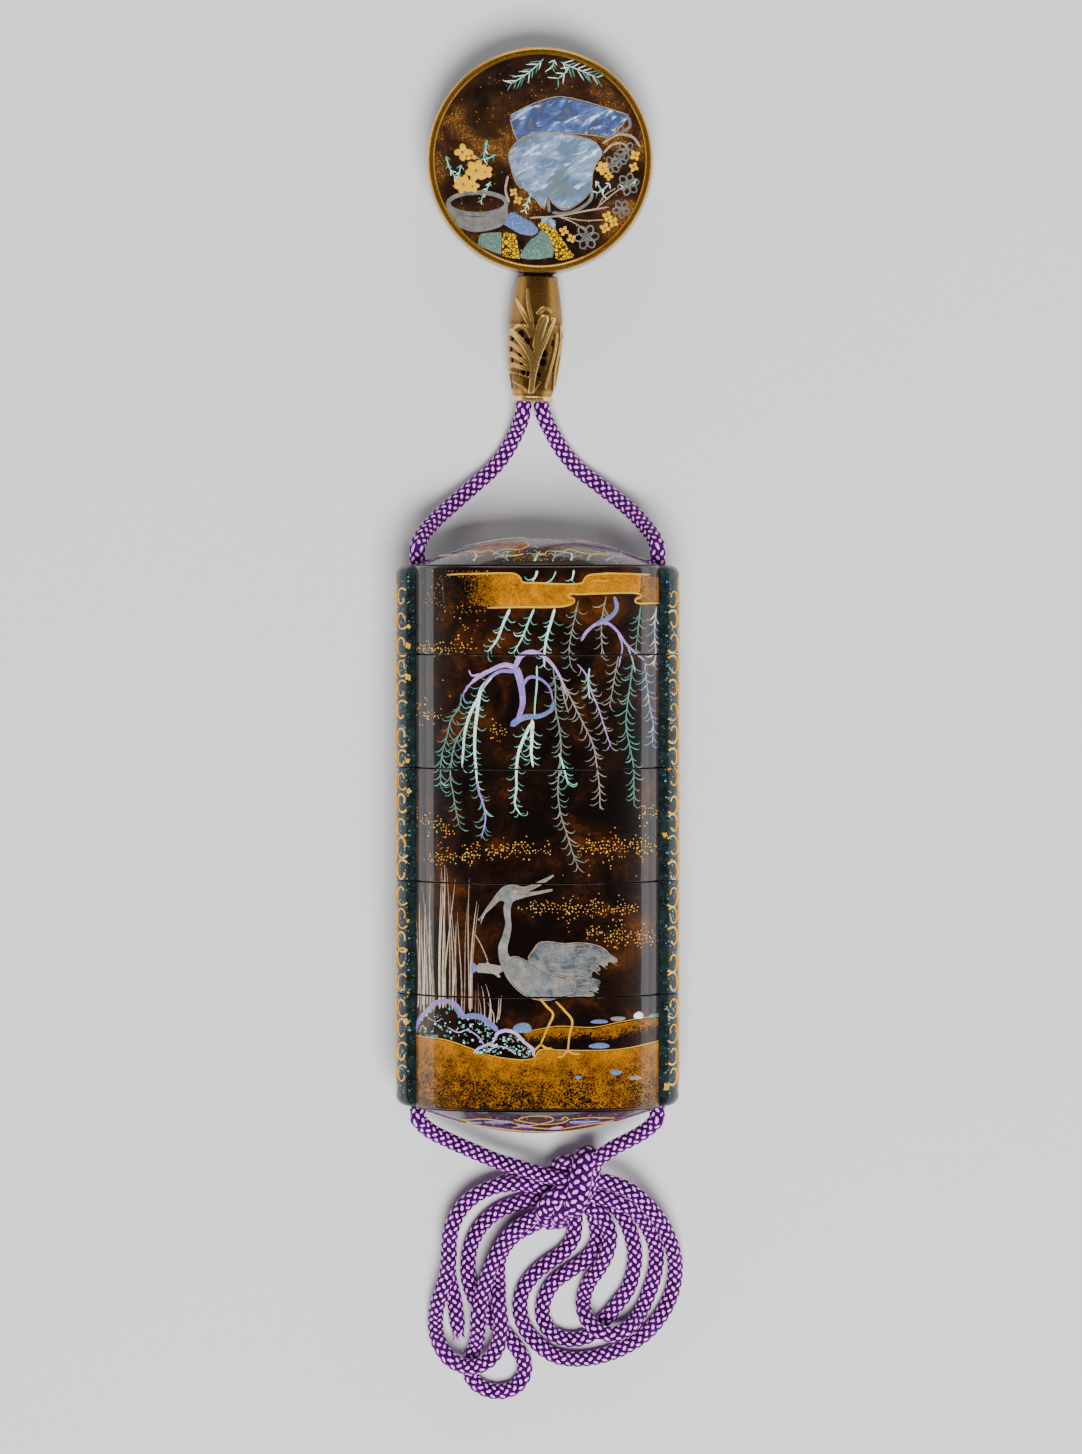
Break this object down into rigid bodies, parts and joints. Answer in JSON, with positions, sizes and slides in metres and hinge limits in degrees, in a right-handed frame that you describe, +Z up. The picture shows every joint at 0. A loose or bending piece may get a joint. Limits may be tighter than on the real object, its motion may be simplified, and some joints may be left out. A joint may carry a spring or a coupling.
{
  "type": "inro case",
  "caption": "Stacked oval lacquer case with lifting lid, hollow compartments, side cord channels, round netsuke toggle, metal bead and tied silk cord.",
  "frame": {"origin": "middle of the narrow flat along the back of the stack of cases, on the surface that it lies on", "axes": "+X across the stack, +Y along it from the knot towards the netsuke, +Z up, out of the decorated front"},
  "size_m": [0.047, 0.2218, 0.0228],
  "materials": {
    "lacquer": "polished brown-black lacquer on thin wood, with gold powder and shell inlay under a clear gloss",
    "netsuke_lacquer": "polished brown-black lacquer with gold powder, shell and gold inlay, and a gold rim",
    "gilt_metal": "gilt, darkened in its hollows",
    "silk_cord": "round plaited silk, deep purple with pale lilac stitches"
  },
  "bodies": {
    "root": {"lid": "lacquer", "case_1": "lacquer", "case_2": "lacquer", "case_3": "lacquer", "case_4": "lacquer", "netsuke": "netsuke_lacquer", "ojime": "gilt_metal", "cord_left_upper": "silk_cord", "cord_right_upper": "silk_cord", "cord_left_channel": "silk_cord", "cord_right_channel": "silk_cord", "cord_left_lower": "silk_cord", "cord_right_lower": "silk_cord", "loop_left_outer": "silk_cord", "loop_left_inner": "silk_cord", "loop_right_outer": "silk_cord", "loop_right_middle": "silk_cord", "loop_right_inner": "silk_cord", "cord_end": "silk_cord", "knot": "silk_cord"}
  },
  "joints": []
}
